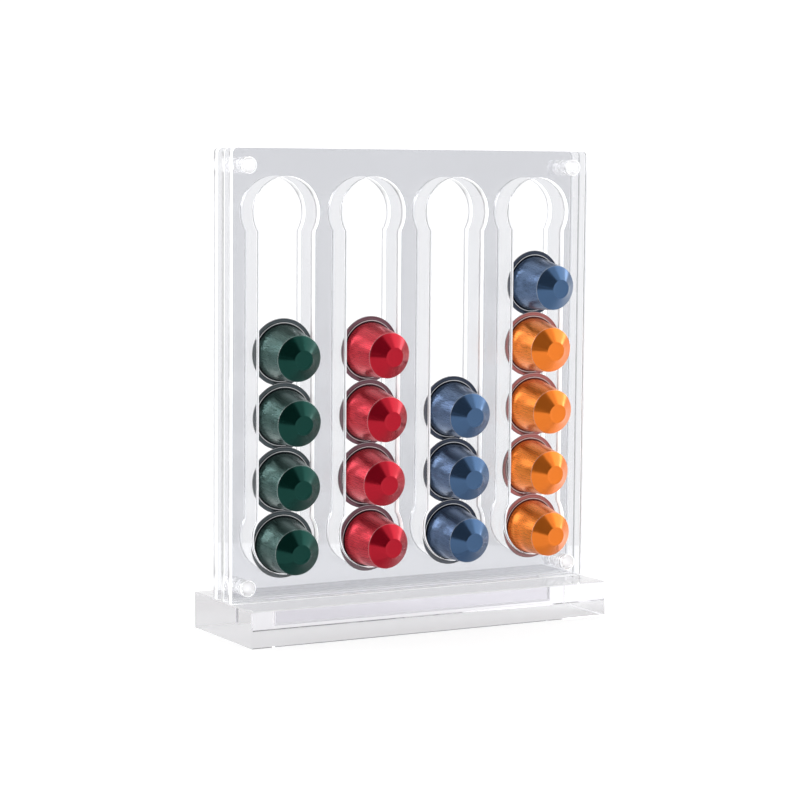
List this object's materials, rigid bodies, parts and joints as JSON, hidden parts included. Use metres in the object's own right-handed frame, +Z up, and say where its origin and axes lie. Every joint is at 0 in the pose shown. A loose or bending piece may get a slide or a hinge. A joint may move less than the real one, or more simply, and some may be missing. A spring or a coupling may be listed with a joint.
{
  "type": "coffee capsule rack",
  "caption": "Clear upright rack with keyhole lanes on both sides and coloured coffee capsules stacked in the front lanes, on a thick clear base",
  "frame": {"origin": "middle of the base's underside, on the surface that the rack stands on", "axes": "+X along the rack to the right as seen from the loaded front, +Y from the front to the back, +Z up"},
  "size_m": [0.2234, 0.0724, 0.2636],
  "materials": {
    "clear_acrylic": "polished clear acrylic",
    "clear_plastic": "clear moulded plastic, slightly cloudy",
    "green_aluminium": "lacquered, finely brushed",
    "red_aluminium": "lacquered, finely brushed",
    "blue_aluminium": "lacquered, finely brushed",
    "orange_aluminium": "lacquered, finely brushed",
    "foil": "satin foil"
  },
  "bodies": {
    "base": {"base_block": "clear_acrylic"},
    "panel": {"front_sheet": "clear_acrylic", "divider_sheet": "clear_acrylic", "back_sheet": "clear_acrylic", "corner_screws": "clear_plastic", "corner_nuts": "clear_plastic", "front_spacers": "clear_plastic", "rear_spacers": "clear_plastic"},
    "green_capsule_1": {"green_cup_1": "green_aluminium", "green_lid_1": "foil"},
    "green_capsule_2": {"green_cup_2": "green_aluminium", "green_lid_2": "foil"},
    "green_capsule_3": {"green_cup_3": "green_aluminium", "green_lid_3": "foil"},
    "green_capsule_4": {"green_cup_4": "green_aluminium", "green_lid_4": "foil"},
    "red_capsule_1": {"red_cup_1": "red_aluminium", "red_lid_1": "foil"},
    "red_capsule_2": {"red_cup_2": "red_aluminium", "red_lid_2": "foil"},
    "red_capsule_3": {"red_cup_3": "red_aluminium", "red_lid_3": "foil"},
    "red_capsule_4": {"red_cup_4": "red_aluminium", "red_lid_4": "foil"},
    "blue_capsule_1": {"blue_cup_1": "blue_aluminium", "blue_lid_1": "foil"},
    "blue_capsule_2": {"blue_cup_2": "blue_aluminium", "blue_lid_2": "foil"},
    "blue_capsule_3": {"blue_cup_3": "blue_aluminium", "blue_lid_3": "foil"},
    "orange_capsule_1": {"orange_cup_1": "orange_aluminium", "orange_lid_1": "foil"},
    "orange_capsule_2": {"orange_cup_2": "orange_aluminium", "orange_lid_2": "foil"},
    "orange_capsule_3": {"orange_cup_3": "orange_aluminium", "orange_lid_3": "foil"},
    "orange_capsule_4": {"orange_cup_4": "orange_aluminium", "orange_lid_4": "foil"},
    "blue_capsule_4": {"blue_cup_4": "blue_aluminium", "blue_lid_4": "foil"}
  },
  "joints": [
    {"name": "panel_lift", "type": "slide", "parent": "base", "child": "panel", "axis": [0, 0, 1], "range_m": [0, 0.014]},
    {"name": "green_capsule_1_slide", "type": "slide", "parent": "panel", "child": "green_capsule_1", "axis": [0, 0, 1], "range_m": [0, 0.079]},
    {"name": "green_capsule_2_slide", "type": "slide", "parent": "panel", "child": "green_capsule_2", "axis": [0, 0, 1], "range_m": [0, 0.079]},
    {"name": "green_capsule_3_slide", "type": "slide", "parent": "panel", "child": "green_capsule_3", "axis": [0, 0, 1], "range_m": [0, 0.079]},
    {"name": "green_capsule_4_slide", "type": "slide", "parent": "panel", "child": "green_capsule_4", "axis": [0, 0, 1], "range_m": [0, 0.079]},
    {"name": "red_capsule_1_slide", "type": "slide", "parent": "panel", "child": "red_capsule_1", "axis": [0, 0, 1], "range_m": [0, 0.079]},
    {"name": "red_capsule_2_slide", "type": "slide", "parent": "panel", "child": "red_capsule_2", "axis": [0, 0, 1], "range_m": [0, 0.079]},
    {"name": "red_capsule_3_slide", "type": "slide", "parent": "panel", "child": "red_capsule_3", "axis": [0, 0, 1], "range_m": [0, 0.079]},
    {"name": "red_capsule_4_slide", "type": "slide", "parent": "panel", "child": "red_capsule_4", "axis": [0, 0, 1], "range_m": [0, 0.079]},
    {"name": "blue_capsule_1_slide", "type": "slide", "parent": "panel", "child": "blue_capsule_1", "axis": [0, 0, 1], "range_m": [0, 0.1138]},
    {"name": "blue_capsule_2_slide", "type": "slide", "parent": "panel", "child": "blue_capsule_2", "axis": [0, 0, 1], "range_m": [0, 0.1138]},
    {"name": "blue_capsule_3_slide", "type": "slide", "parent": "panel", "child": "blue_capsule_3", "axis": [0, 0, 1], "range_m": [0, 0.1138]},
    {"name": "orange_capsule_1_slide", "type": "slide", "parent": "panel", "child": "orange_capsule_1", "axis": [0, 0, 1], "range_m": [0, 0.0442]},
    {"name": "orange_capsule_2_slide", "type": "slide", "parent": "panel", "child": "orange_capsule_2", "axis": [0, 0, 1], "range_m": [0, 0.0442]},
    {"name": "orange_capsule_3_slide", "type": "slide", "parent": "panel", "child": "orange_capsule_3", "axis": [0, 0, 1], "range_m": [0, 0.0442]},
    {"name": "orange_capsule_4_slide", "type": "slide", "parent": "panel", "child": "orange_capsule_4", "axis": [0, 0, 1], "range_m": [0, 0.0442]},
    {"name": "blue_capsule_4_slide", "type": "slide", "parent": "panel", "child": "blue_capsule_4", "axis": [0, 0, 1], "range_m": [0, 0.0442]}
  ],
  "couplings": [
    {"joint": "green_capsule_2_slide", "follows": "green_capsule_1_slide", "ratio": 1},
    {"joint": "green_capsule_3_slide", "follows": "green_capsule_1_slide", "ratio": 1},
    {"joint": "green_capsule_4_slide", "follows": "green_capsule_1_slide", "ratio": 1},
    {"joint": "red_capsule_2_slide", "follows": "red_capsule_1_slide", "ratio": 1},
    {"joint": "red_capsule_3_slide", "follows": "red_capsule_1_slide", "ratio": 1},
    {"joint": "red_capsule_4_slide", "follows": "red_capsule_1_slide", "ratio": 1},
    {"joint": "blue_capsule_2_slide", "follows": "blue_capsule_1_slide", "ratio": 1},
    {"joint": "blue_capsule_3_slide", "follows": "blue_capsule_1_slide", "ratio": 1},
    {"joint": "orange_capsule_2_slide", "follows": "orange_capsule_1_slide", "ratio": 1},
    {"joint": "orange_capsule_3_slide", "follows": "orange_capsule_1_slide", "ratio": 1},
    {"joint": "orange_capsule_4_slide", "follows": "orange_capsule_1_slide", "ratio": 1},
    {"joint": "blue_capsule_4_slide", "follows": "orange_capsule_1_slide", "ratio": 1}
  ]
}
